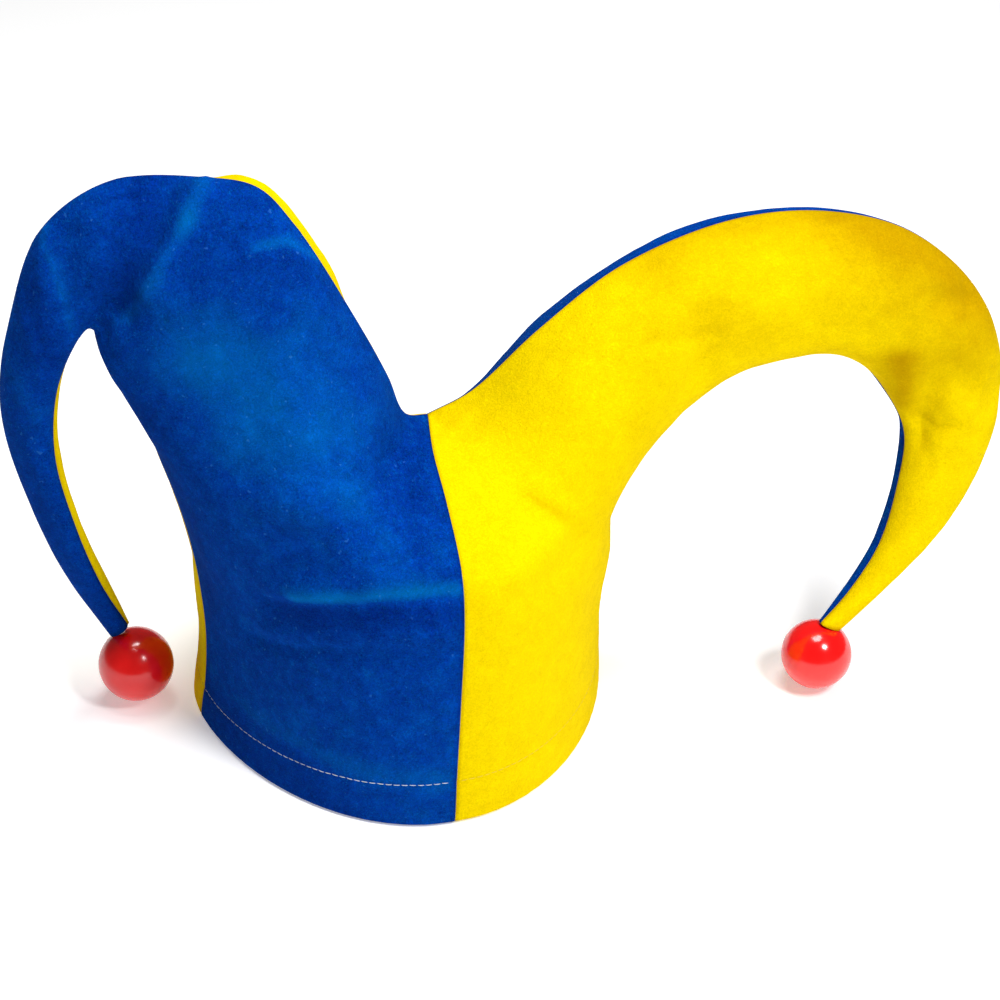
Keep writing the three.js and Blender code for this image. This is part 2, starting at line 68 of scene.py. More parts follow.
PINCH = {FRONT: 0.095, BACK: -0.07}
FRONT_TUCK = 0.4
ROUND_AT_SIDE = 0.51
ROUND_AT_CENTRE = 0.49
BULGE_HANDLE = 4 / 3
FOLD_FADE = 0.15
EASE_FROM_ROW = 3.4
EASE_TO_ROW = 10.1
EASE_ROUNDS = 24
EASE_OUT = 0.5
EASE_BACK = -0.515
COARSE_ACROSS = 10
VALLEY_ROW = 7

# Fineness of the shown surfaces
CROWN_LINES = 17
HORN_LINES = 11
COLUMNS = 120
FOLD_DEPTH = 1.5
SMOOTHING_ROUNDS = 14
MARK_STEPS = 9

# Stitches and balls
STITCH_HEIGHT = {LEFT: (15.2, 22.3), RIGHT: (20.0, 22.3)}
STITCH_LENGTH = 2.9
STITCH_SPACE = 0.55
STITCH_RADIUS = 0.17
BALL_RADIUS = {"ball_left": 17 * MM, "ball_right": 16 * MM}
BALL_HANG = {"ball_left": (0.30, -0.22, -0.95), "ball_right": (-0.32, 0.04, -0.93)}

CENTRE_SEAM = [
    dict(sway=-0.01, frontOut=1.00, frontUp=0, backOut=1.00, backUp=0),
    dict(sway=0.00, frontOut=1.00, frontUp=HEM_UP, backOut=1.00, backUp=HEM_UP),
    dict(sway=0.03, frontOut=0.98, frontUp=0.40, backOut=0.98, backUp=0.30),
    dict(sway=0.06, frontOut=0.945, frontUp=0.68, backOut=0.935, backUp=0.46),
    dict(sway=0.066, frontOut=0.88, frontUp=0.80, backOut=0.82, backUp=0.57),
    dict(sway=0.062, frontOut=0.66, frontUp=0.93, backOut=0.55, backUp=0.695),
    dict(sway=0.07, frontOut=0.42, frontUp=0.99, backOut=0.22, backUp=0.83),
    dict(sway=0.12, frontOut=0.136, frontUp=1.00, backOut=-0.136, backUp=1.00),
]
LEFT_CROWN = [
    dict(out=0.995, up=0, lean=0, open=1.00, front=0, back=0, top=0, fall=0),
    dict(out=0.96, up=0, lean=0, open=1.00, front=0, back=0, top=0, fall=0),
    dict(out=0.94, up=0.30, lean=0, open=1.00, front=0, back=0, top=0, fall=0),
    dict(out=0.95, up=0.47, lean=-0.01, open=1.00, front=0, back=0, top=0, fall=0),
    dict(out=0.97, up=0.60, lean=-0.02, open=0.95, front=0.2, back=0.26, top=0.1, fall=0.2),
    dict(out=1.00, up=0.72, lean=-0.03, open=0.88, front=0.49, back=0.55, top=0.28, fall=0.4),
    dict(out=1.04, up=0.84, lean=-0.04, open=0.78, front=0.625, back=0.68, top=0.8, fall=0.6),
    dict(out=1.08, up=0.935, lean=-0.05, open=0.65, front=0.62, back=0.66, top=1.95, fall=0.62),
]
RIGHT_CROWN = [
    dict(out=0.995, up=0, lean=0, open=1.00, front=0, back=0, top=0, fall=0),
    dict(out=0.99, up=0, lean=0, open=1.00, front=0, back=0, top=0, fall=0),
    dict(out=0.99, up=0.35, lean=0, open=1.00, front=0, back=0, top=0, fall=0),
    dict(out=1.00, up=0.50, lean=-0.01, open=1.00, front=0, back=0, top=0, fall=0),
    dict(out=1.00, up=0.625, lean=-0.02, open=0.95, front=0.2, back=0.26, top=0.1, fall=0.2),
    dict(out=0.99, up=0.74, lean=-0.04, open=0.88, front=0.47, back=0.53, top=0.28, fall=0.4),
    dict(out=0.98, up=0.845, lean=-0.06, open=0.78, front=0.6, back=0.66, top=0.8, fall=0.6),
    dict(out=0.985, up=0.94, lean=-0.08, open=0.65, front=0.6, back=0.64, top=1.95, fall=0.62),
]
LEFT_HORN = [
    dict(ridgeOut=-0.012, ridgeUp=0.022, ridgeLean=-0.155, underOut=0.145, underUp=-0.02, underLean=-0.055,
         open=0.43, front=0.62, back=0.66, top=1.78, fall=0.65, tuck=0, crest=0),
    dict(ridgeOut=0.037, ridgeUp=0.20, ridgeLean=-0.19, underOut=0.205, underUp=0.07, underLean=-0.06,
         open=0.23, front=0.58, back=0.62, top=1.48, fall=0.62, tuck=0, crest=0.08),
    dict(ridgeOut=0.13, ridgeUp=0.49, ridgeLean=-0.25, underOut=0.315, underUp=0.22, underLean=-0.06,
         open=0.1, front=0.45, back=0.54, top=1.17, fall=0.45, tuck=0, crest=0.17),
    dict(ridgeOut=0.265, ridgeUp=0.85, ridgeLean=-0.26, underOut=0.41, underUp=0.375, underLean=-0.05,
         open=0, front=0.4, back=0.49, top=1.05, fall=0.25, tuck=0, crest=0.17),
    dict(ridgeOut=0.338, ridgeUp=0.962, ridgeLean=-0.18, underOut=0.425, underUp=0.425, underLean=-0.04,
         open=0, front=0.38, back=0.45, top=1, fall=0.15, tuck=0, crest=0.12),
    dict(ridgeOut=0.45, ridgeUp=0.97, ridgeLean=-0.05, underOut=0.435, underUp=0.455, underLean=-0.04,
         open=0, front=0.36, back=0.38, top=1, fall=0.10, tuck=0, crest=0.05),
    dict(ridgeOut=0.68, ridgeUp=0.96, ridgeLean=0.04, underOut=0.465, underUp=0.455, underLean=-0.03,
         open=0, front=0.31, back=0.31, top=1, fall=0, tuck=0, crest=0),
    dict(ridgeOut=0.855, ridgeUp=0.80, ridgeLean=0.07, underOut=0.535, underUp=0.39, underLean=-0.01,
         open=0, front=0.27, back=0.27, top=1, fall=0, tuck=0.06, crest=0),
    dict(ridgeOut=0.95, ridgeUp=0.48, ridgeLean=0.10, underOut=0.665, underUp=0.225, underLean=-0.02,
         open=0, front=0.22, back=0.23, top=1, fall=0, tuck=0.14, crest=0),
    dict(ridgeOut=0.998, ridgeUp=0.115, ridgeLean=0.155, underOut=0.72, underUp=-0.04, underLean=0,
         open=0, front=0.18, back=0.19, top=1, fall=0, tuck=0.16, crest=0),
    dict(ridgeOut=0.955, ridgeUp=-0.275, ridgeLean=0.20, underOut=0.64, underUp=-0.375, underLean=0.03,
         open=0, front=0.15, back=0.16, top=1, fall=0, tuck=0.16, crest=0),
    dict(ridgeOut=0.872, ridgeUp=-0.665, ridgeLean=0.25, underOut=0.52, underUp=-0.67, underLean=0.10,
         open=0, front=0.11, back=0.12, top=1, fall=0, tuck=0.15, crest=0),
    dict(ridgeOut=0.782, ridgeUp=-0.98, ridgeLean=0.265, underOut=0.37, underUp=-0.92, underLean=0.20,
         open=0, front=0.065, back=0.065, top=1, fall=0, tuck=0.1, crest=0),
]
RIGHT_HORN = [
    dict(ridgeOut=0.108, ridgeUp=0.14, ridgeLean=-0.175, underOut=-0.01, underUp=-0.71, underLean=-0.09,
         open=0.4, front=0.6, back=0.64, top=1.75, fall=0.60, tuck=0, crest=0.1),
    dict(ridgeOut=0.215, ridgeUp=0.495, ridgeLean=-0.20, underOut=0.10, underUp=-0.29, underLean=-0.11,
         open=0.2, front=0.52, back=0.56, top=1.35, fall=0.45, tuck=0, crest=0.15),
    dict(ridgeOut=0.35, ridgeUp=0.81, ridgeLean=-0.18, underOut=0.26, underUp=0.01, underLean=-0.135,
         open=0.08, front=0.46, back=0.48, top=1.12, fall=0.25, tuck=0, crest=0.12),
    dict(ridgeOut=0.546, ridgeUp=0.955, ridgeLean=-0.10, underOut=0.405, underUp=0.095, underLean=-0.165,
         open=0, front=0.43, back=0.44, top=1.03, fall=0.10, tuck=0, crest=0.04),
    dict(ridgeOut=0.706, ridgeUp=0.93, ridgeLean=-0.10, underOut=0.55, underUp=0.085, underLean=-0.185,
         open=0, front=0.4, back=0.4, top=1, fall=0, tuck=0, crest=0),
    dict(ridgeOut=0.838, ridgeUp=0.78, ridgeLean=-0.155, underOut=0.64, underUp=-0.02, underLean=-0.205,
         open=0, front=0.36, back=0.36, top=1, fall=0, tuck=0, crest=0),
    dict(ridgeOut=0.949, ridgeUp=0.42, ridgeLean=-0.215, underOut=0.697, underUp=-0.185, underLean=-0.245,
         open=0, front=0.33, back=0.33, top=1, fall=0, tuck=0.02, crest=0),
    dict(ridgeOut=0.995, ridgeUp=0.005, ridgeLean=-0.26, underOut=0.748, underUp=-0.445, underLean=-0.28,
         open=0, front=0.29, back=0.29, top=1, fall=0, tuck=0.01, crest=0),
    dict(ridgeOut=0.988, ridgeUp=-0.425, ridgeLean=-0.31, underOut=0.727, underUp=-0.755, underLean=-0.34,
         open=0, front=0.25, back=0.25, top=1, fall=0, tuck=0.01, crest=0),
    dict(ridgeOut=0.93, ridgeUp=-0.905, ridgeLean=-0.36, underOut=0.675, underUp=-1.105, underLean=-0.40,
         open=0, front=0.2, back=0.2, top=1, fall=0, tuck=0.02, crest=0),
    dict(ridgeOut=0.838, ridgeUp=-1.24, ridgeLean=-0.415, underOut=0.595, underUp=-1.35, underLean=-0.445,
         open=0, front=0.14, back=0.14, top=1, fall=0, tuck=0.03, crest=0),
    dict(ridgeOut=0.715, ridgeUp=-1.57, ridgeLean=-0.50, underOut=0.505, underUp=-1.505, underLean=-0.505,
         open=0, front=0.065, back=0.065, top=1, fall=0, tuck=0.06, crest=0),
]
FOLDS = [
    dict(side=LEFT, face=FRONT, row=13.0, across=0.90, toRow=12.9, toAcross=0.46,
         width=0.075, height=0.024),
    dict(side=LEFT, face=FRONT, row=13.7, across=0.85, toRow=13.5, toAcross=0.34,
         width=0.075, height=-0.026),
    dict(side=LEFT, face=FRONT, row=14.7, across=0.79, toRow=14.8, toAcross=0.40,
         width=0.065, height=-0.018),
    dict(side=LEFT, face=FRONT, row=13.9, across=0.30, toRow=13.5, toAcross=0.16,
         width=0.050, height=-0.014),
    dict(side=LEFT, face=FRONT, row=9.7, across=0.63, toRow=7.8, toAcross=0.57,
         width=0.110, height=0.022),
    dict(side=LEFT, face=FRONT, row=6.0, across=0.62, toRow=4.3, toAcross=0.77,
         width=0.095, height=0.018),
    dict(side=LEFT, face=FRONT, row=4.0, across=0.50, toRow=3.4, toAcross=0.92,
         width=0.080, height=0.014),
    dict(side=LEFT, face=FRONT, row=7.6, across=0.86, toRow=6.0, toAcross=0.84,
         width=0.070, height=-0.022),
    dict(side=RIGHT, face=FRONT, row=3.5, across=0.92, toRow=5.1, toAcross=0.60,
         width=0.075, height=0.018),
    dict(side=RIGHT, face=FRONT, row=9.9, across=0.40, toRow=10.3, toAcross=0.60,
         width=0.065, height=-0.020),
    dict(side=RIGHT, face=FRONT, row=15.0, across=0.14, toRow=14.2, toAcross=0.34,
         width=0.060, height=-0.022),
    dict(side=RIGHT, face=FRONT, row=14.1, across=0.45, toRow=15.3, toAcross=0.74,
         width=0.065, height=-0.018),
    dict(side=RIGHT, face=FRONT, row=13.9, across=0.82, toRow=13.4, toAcross=0.66,
         width=0.050, height=-0.012),
    dict(side=LEFT, face=BACK, row=12.8, across=0.80, toRow=12.9, toAcross=0.36,
         width=0.080, height=-0.022),
    dict(side=LEFT, face=BACK, row=4.2, across=0.40, toRow=4.0, toAcross=0.84,
         width=0.090, height=0.016),
    dict(side=RIGHT, face=BACK, row=4.1, across=0.40, toRow=4.0, toAcross=0.84,
         width=0.090, height=0.016),
    dict(side=RIGHT, face=BACK, row=14.6, across=0.16, toRow=14.4, toAcross=0.62,
         width=0.070, height=-0.020),
]

SIDES = {
    LEFT: dict(overhang=LEFT_OVERHANG, rise=LEFT_RISE, crown=LEFT_CROWN, horn=LEFT_HORN),
    RIGHT: dict(overhang=RIGHT_OVERHANG, rise=RIGHT_RISE, crown=RIGHT_CROWN, horn=RIGHT_HORN),
}

# Smaller creases and puckers that only the looks have. Same form as the folds.
CREASES = [
    dict(side=LEFT, face=FRONT, row=13.0, across=0.97, toRow=12.95, toAcross=0.40,
         width=0.040, height=0.014),
    dict(side=LEFT, face=FRONT, row=13.45, across=0.92, toRow=13.25, toAcross=0.34,
         width=0.045, height=-0.018),
    dict(side=LEFT, face=FRONT, row=4.15, across=0.40, toRow=3.95, toAcross=0.97,
         width=0.050, height=0.020),
    dict(side=LEFT, face=FRONT, row=3.75, across=0.38, toRow=3.55, toAcross=0.97,
         width=0.050, height=-0.016),
    dict(side=LEFT, face=FRONT, row=7.4, across=0.50, toRow=4.3, toAcross=0.70,
         width=0.085, height=0.022),
    dict(side=LEFT, face=FRONT, row=6.6, across=0.90, toRow=5.2, toAcross=0.88,
         width=0.050, height=-0.018),
    dict(side=LEFT, face=FRONT, row=14.9, across=0.92, toRow=15.2, toAcross=0.55,
         width=0.028, height=0.010),
    dict(side=LEFT, face=FRONT, row=14.25, across=0.12, toRow=13.9, toAcross=0.33,
         width=0.018, height=-0.010),
    dict(side=LEFT, face=FRONT, row=15.6, across=0.86, toRow=15.9, toAcross=0.45,
         width=0.022, height=0.010),
    dict(side=LEFT, face=FRONT, row=13.4, across=0.94, toRow=13.3, toAcross=0.62,
         width=0.030, height=-0.012),
    dict(side=LEFT, face=FRONT, row=2.75, across=0.28, toRow=2.55, toAcross=0.98,
         width=0.035, height=-0.010),
    dict(side=LEFT, face=FRONT, row=2.95, across=0.35, toRow=2.8, toAcross=0.95,
         width=0.035, height=0.011),
    dict(side=RIGHT, face=FRONT, row=10.2, across=0.52, toRow=9.7, toAcross=0.66,
         width=0.020, height=-0.008),
    dict(side=RIGHT, face=FRONT, row=14.6, across=0.10, toRow=15.1, toAcross=0.42,
         width=0.020, height=-0.012),
    dict(side=RIGHT, face=FRONT, row=15.4, across=0.30, toRow=14.9, toAcross=0.66,
         width=0.022, height=0.010),
    dict(side=RIGHT, face=FRONT, row=13.6, across=0.90, toRow=13.9, toAcross=0.72,
         width=0.018, height=-0.007),
    dict(side=LEFT, face=BACK, row=13.6, across=0.70, toRow=13.9, toAcross=0.30,
         width=0.030, height=0.010),
    dict(side=RIGHT, face=BACK, row=14.0, across=0.70, toRow=14.5, toAcross=0.30,
         width=0.030, height=0.010),
]

# Painted highlights and painted shade along the felt's folds and creases: where the felt would catch more
# light (shade above 0) it is painted lighter, and where it would catch less it is painted darker.
PAINTED_LIGHT_MARKS = [
    dict(side=LEFT, face=FRONT, row=13.0, across=0.95, toRow=13.0, toAcross=0.72,
         width=0.040, height=0.34),
    dict(side=LEFT, face=FRONT, row=13.0, across=0.72, toRow=12.9, toAcross=0.30,
         width=0.042, height=0.40),
    dict(side=LEFT, face=FRONT, row=13.6, across=0.90, toRow=13.5, toAcross=0.40,
         width=0.100, height=-0.50),
    dict(side=LEFT, face=FRONT, row=12.2, across=0.95, toRow=12.2, toAcross=0.60,
         width=0.110, height=-0.28),
    dict(side=LEFT, face=FRONT, row=14.9, across=0.92, toRow=15.0, toAcross=0.30,
         width=0.024, height=0.30),
    dict(side=LEFT, face=FRONT, row=15.4, across=0.85, toRow=15.6, toAcross=0.20,
         width=0.080, height=-0.42),
    dict(side=LEFT, face=FRONT, row=11.45, across=0.76, toRow=10.6, toAcross=0.98,
         width=0.020, height=0.45),
    dict(side=LEFT, face=FRONT, row=11.2, across=0.72, toRow=10.4, toAcross=0.94,
         width=0.050, height=-0.35),
    dict(side=LEFT, face=FRONT, row=10.4, across=0.50, toRow=9.2, toAcross=0.58,
         width=0.190, height=0.42),
    dict(side=LEFT, face=FRONT, row=9.0, across=0.62, toRow=6.8, toAcross=0.67,
         width=0.070, height=0.10),
    dict(side=LEFT, face=FRONT, row=6.8, across=0.67, toRow=3.8, toAcross=0.85,
         width=0.060, height=0.16),
    dict(side=LEFT, face=FRONT, row=3.98, across=0.50, toRow=3.55, toAcross=0.99,
         width=0.036, height=0.95),
    dict(side=LEFT, face=FRONT, row=3.5, across=0.45, toRow=3.2, toAcross=0.99,
         width=0.080, height=-0.60),
    dict(side=LEFT, face=FRONT, row=7.6, across=0.94, toRow=5.2, toAcross=0.92,
         width=0.100, height=-0.35),
    dict(side=LEFT, face=FRONT, row=9.7, across=0.12, toRow=3.0, toAcross=0.08,
         width=0.120, height=-0.50),
    dict(side=LEFT, face=FRONT, row=0.9, across=0.02, toRow=0.1, toAcross=0.60,
         width=0.130, height=-0.40),
    dict(side=LEFT, face=FRONT, row=1.35, across=0.05, toRow=1.1, toAcross=0.97,
         width=0.050, height=0.25),
    dict(side=LEFT, face=FRONT, row=18.0, across=0.50, toRow=21.0, toAcross=0.50,
         width=0.200, height=-0.35),
    dict(side=RIGHT, face=FRONT, row=10.2, across=0.97, toRow=14.0, toAcross=0.95,
         width=0.180, height=-0.62),
    dict(side=RIGHT, face=FRONT, row=12.4, across=0.80, toRow=14.0, toAcross=0.60,
         width=0.260, height=-0.55),
    dict(side=RIGHT, face=FRONT, row=14.1, across=0.13, toRow=13.2, toAcross=0.30,
         width=0.060, height=-0.60),
    dict(side=RIGHT, face=FRONT, row=9.7, across=0.70, toRow=10.8, toAcross=0.45,
         width=0.120, height=-0.22),
    dict(side=RIGHT, face=FRONT, row=8.4, across=0.06, toRow=5.0, toAcross=0.08,
         width=0.090, height=-0.15),
    dict(side=RIGHT, face=FRONT, row=7.2, across=0.90, toRow=2.5, toAcross=0.70,
         width=0.300, height=0.18),
]


def unit(v):
    return v / np.maximum(np.linalg.norm(v, axis=-1, keepdims=True), 1e-9)


# A centripetal Catmull-Rom line through the points, read at row numbers.
def smooth_line(points, rows):
    p = np.vstack([2 * points[0] - points[1], points, 2 * points[-1] - points[-2]])
    i = np.clip(np.floor(rows).astype(int), 0, len(points) - 2)
    w = (rows - i)[:, None]
    p0, p1, p2, p3 = p[i], p[i + 1], p[i + 2], p[i + 3]
    d0 = np.sqrt(np.linalg.norm(p1 - p0, axis=1, keepdims=True))
    d1 = np.sqrt(np.linalg.norm(p2 - p1, axis=1, keepdims=True))
    d2 = np.sqrt(np.linalg.norm(p3 - p2, axis=1, keepdims=True))
    d0 = np.where(d0 < 1e-2, d1, d0)
    d2 = np.where(d2 < 1e-2, d1, d2)
    t1 = ((p1 - p0) / d0 - (p2 - p0) / (d0 + d1) + (p2 - p1) / d1) * d1
    t2 = ((p2 - p1) / d1 - (p3 - p1) / (d1 + d2) + (p3 - p2) / d2) * d1
    c2 = -3 * p1 + 3 * p2 - 2 * t1 - t2
    c3 = 2 * p1 - 2 * p2 + t1 + t2
    return p1 + t1 * w + c2 * w**2 + c3 * w**3


def cornered_line(points, rows):
    before = smooth_line(points[: VALLEY_ROW + 1], np.minimum(rows, VALLEY_ROW))
    after = smooth_line(points[VALLEY_ROW:], np.maximum(rows - VALLEY_ROW, 0))
    return np.where((rows <= VALLEY_ROW)[:, None], before, after)


def crown_section(side, face, level):
    row = SIDES[side]["crown"][level]
    seam = CENTRE_SEAM[level]
    side_height = VALLEY_HEIGHT + SIDES[side]["horn"][0]["underUp"] * SIDES[side]["rise"]
    side_up = HEM_HEIGHT if level == HEM_TOP_ROW else row["up"] * side_height
    centre_out = seam["frontOut"] if face == FRONT else seam["backOut"]
    centre_up = seam["frontUp"] if face == FRONT else seam["backUp"]
    under = np.array([side * row["out"] * HALF_WIDTH, row["lean"] * HALF_DEPTH, side_up])
    ridge = np.array([seam["sway"] * HALF_WIDTH, face * centre_out * HALF_DEPTH, centre_up * VALLEY_HEIGHT])
    bulge = (row["front"] if face == FRONT else row["back"]) * HORN_DEPTH / 2 * BULGE_HANDLE
    drop = row["fall"] * bulge if face == BACK else 0
    round_side = row["open"] * ROUND_AT_SIDE * abs(ridge[1] - under[1])
    round_centre = row["open"] * ROUND_AT_CENTRE * abs(ridge[0] - under[0])
    pinch = max(0, 1 - 2 * row["top"]) * PINCH[face] * HALF_WIDTH
    near_under = under + np.array([-side * pinch, face * (round_side + bulge), -drop])
    near_ridge = ridge + np.array([side * round_centre, face * row["top"] * bulge, -drop * row["top"]])
    return [under, near_under, near_ridge, ridge]


def across_horn(under, ridge):
    chord = unit(ridge - under)
    level = np.array([0.0, 1.0, 0.0])
    return unit(level - chord * (chord @ level if chord.ndim == 1 else chord[..., 1:2]))


def horn_section(side, face, row):
    overhang, rise = SIDES[side]["overhang"], SIDES[side]["rise"]
    reach = HALF_WIDTH + overhang
    ridge = np.array([
        side * row["ridgeOut"] * reach,
        row["ridgeLean"] * HALF_DEPTH,
        VALLEY_HEIGHT + row["ridgeUp"] * rise,
    ])
    under = np.array([
        side * (HALF_WIDTH + row["underOut"] * overhang),
        row["underLean"] * HALF_DEPTH,
        VALLEY_HEIGHT + row["underUp"] * rise,
    ])
    bulge = (row["front"] if face == FRONT else row["back"]) * HORN_DEPTH / 2 * BULGE_HANDLE
    chord = ridge - under
    share = min(1, 2 * row["open"])
    across = across_horn(under, ridge) * (1 - share) + np.array([0.0, 1.0, 0.0]) * share
    if face == BACK:
        across[2] -= row["fall"]
    offset = across * face * bulge
    tuck = row["tuck"] * FRONT_TUCK if face == FRONT else -row["tuck"]
    near_under = under + offset + chord * tuck
    crest = row["crest"] if face == BACK else 0
    near_ridge = ridge + offset * row["top"] + chord * (crest - row["open"] * ROUND_AT_CENTRE)
    return [under, near_under, near_ridge, ridge]


def rails_of(side, face, rows):
    sections = [crown_section(side, face, level) for level in range(len(CENTRE_SEAM))]
    sections += [horn_section(side, face, row) for row in SIDES[side]["horn"]]
    points = np.array(sections)
    rails = [smooth_line(points[:, k], rows) for k in range(3)]
    return np.stack([*rails, cornered_line(points[:, 3], rows)], 1)


def section_points(rails, across):
    t = np.asarray(across)[None, :, None]
    a, b, c, d = (rails[:, None, k] for k in range(4))
    return a * (1 - t) ** 3 + 3 * b * t * (1 - t) ** 2 + 3 * c * t**2 * (1 - t) + d * t**3


def coarse_rows(side):
    last = VALLEY_ROW + len(SIDES[side]["horn"])
    hem_edge = HEM_TOP_ROW + HEM_EDGE / (CENTRE_SEAM[2]["frontUp"] * VALLEY_HEIGHT - HEM_HEIGHT)
    crown = [row + step / 2 for row in range(VALLEY_ROW) for step in range(2)]
    horn = [row + step / 3 for row in range(VALLEY_ROW, last) for step in range(3)]
    return np.array(sorted([*crown, hem_edge, *horn, last]))


def eased(skin, rows):
    now = skin
    mask = (rows >= EASE_FROM_ROW) & (rows <= EASE_TO_ROW)
    for k in range(2 * EASE_ROUNDS):
        share = EASE_OUT if k % 2 == 0 else EASE_BACK
        here = now[1:-1, 1:-1]
        near = [now[:-2, 1:-1], now[2:, 1:-1], now[1:-1, :-2], now[1:-1, 2:]]
        weights = [1 / np.linalg.norm(n - here, axis=-1, keepdims=True) for n in near]
        mean = sum(n * w for n, w in zip(near, weights)) / sum(weights)
        moved = here + (mean - here) * share
        now = now.copy()
        now[1:-1, 1:-1] = np.where(mask[1:-1, None, None], moved, here)
    return now


# A smooth curve along the first axis, through values at uneven knots.
def spline(knots, values, at):
    step = np.diff(knots)
    shape = (-1,) + (1,) * (values.ndim - 1)
    slope = np.diff(values, axis=0) / step.reshape(shape)
    tangent = np.empty_like(values)
    before, after = step[:-1].reshape(shape), step[1:].reshape(shape)
    tangent[1:-1] = (slope[:-1] * after + slope[1:] * before) / (before + after)
    tangent[0], tangent[-1] = slope[0], slope[-1]
    i = np.clip(np.searchsorted(knots, at, side="right") - 1, 0, len(knots) - 2)
    h = step[i].reshape(shape)
    w = ((at - knots[i]) / step[i]).reshape(shape)
    a, b = values[i], values[i + 1]
    ta, tb = tangent[i] * h, tangent[i + 1] * h
    return a + ta * w + (3 * (b - a) - 2 * ta - tb) * w**2 + (2 * (a - b) + ta + tb) * w**3


def fold_lift(folds, side, face, skin):
    lift = np.zeros(skin.shape[:2])
    for fold in folds:
        if fold["side"] != side or fold["face"] != face:
            continue
        ends = []
        for row, across in ((fold["row"], fold["across"]), (fold["toRow"], fold["toAcross"])):
            rails = rails_of(side, face, np.array([row, row]))
            ends.append(section_points(rails, [across])[0, 0])
        a, b = ends
        share = np.clip(((skin - a) @ (b - a)) / ((b - a) @ (b - a)), 0, 1)
        distance = np.linalg.norm(skin - (a + share[..., None] * (b - a)), axis=-1)
        lift += fold["height"] * HORN_DEPTH * np.exp(-((distance / (fold["width"] * HORN_DEPTH)) ** 2))
    return lift


# The same for marks of the looks alone, which follow the drawn skin from end to end.
def mark_lift(marks, side, face, skin):
    lift = np.zeros(skin.shape[:2])
    rows, columns = panel_rows(side), panel_columns()
    shares = np.linspace(0, 1, MARK_STEPS)
    for mark in marks:
        if mark["side"] != side or mark["face"] != face:
            continue
        i = np.searchsorted(rows, mark["row"] + shares * (mark["toRow"] - mark["row"]))
        j = np.searchsorted(columns, mark["across"] + shares * (mark["toAcross"] - mark["across"]))
        path = skin[np.clip(i, 0, len(rows) - 1), np.clip(j, 0, len(columns) - 1)]
        distance = np.full(skin.shape[:2], 1e9)
        for a, b in zip(path[:-1], path[1:]):
            along = b - a
            share = np.clip(((skin - a) @ along) / max(along @ along, 1e-6), 0, 1)
            distance = np.minimum(distance, np.linalg.norm(skin - a - share[..., None] * along, axis=-1))
        lift += mark["height"] * HORN_DEPTH * np.exp(-((distance / (mark["width"] * HORN_DEPTH)) ** 2))
    return lift


def outward(skin, side, face, valley):
    along = np.gradient(skin, axis=0)
    over = np.gradient(skin, axis=1)
    normal = unit(np.cross(over, along) * side * face)
    normal[0, :, 2] = 0
    normal[: valley + 1, 0, 1] = 0
    normal[: valley + 1, -1, 0] = 0
    normal[valley, -1, 1] = 0
    across = across_horn(skin[valley + 1:, 0], skin[valley + 1:, -1])
    for column in (0, -1):
        n = normal[valley + 1:, column]
        normal[valley + 1:, column] = n - across * (n * across).sum(-1, keepdims=True)
    return unit(normal)


rng = np.random.default_rng(11)


# Soft uneven waves of about the given length in millimetres, from -1 to 1.
def unevenness(points, length, count=28):
    direction = unit(rng.normal(size=(count, 3)))
    turn = rng.uniform(0, 2 * math.pi, count)
    pace = 2 * math.pi / (length * rng.uniform(0.7, 1.5, count))
    return np.sin(points @ (direction * pace[:, None]).T + turn).sum(-1) / math.sqrt(count * 1.5)


def panel_rows(side):
    last = VALLEY_ROW + len(SIDES[side]["horn"])
    crown = np.linspace(0, VALLEY_ROW, VALLEY_ROW * CROWN_LINES + 1)
    horn = np.linspace(VALLEY_ROW, last, (last - VALLEY_ROW) * HORN_LINES + 1)[1:]
    return np.concatenate([crown, horn])


# Shares of the way across, closer together near both seams.
def panel_columns():
    s = np.linspace(0, 1, COLUMNS + 1)
    return s - 0.78 / (2 * math.pi) * np.sin(2 * math.pi * s)


# The height of the hem's stitches across a panel: the hem was turned up unevenly.
def stitch_line(side, across):
    low, high = STITCH_HEIGHT[side]
    return low + (high - low) * across**2 * (3 - 2 * across)
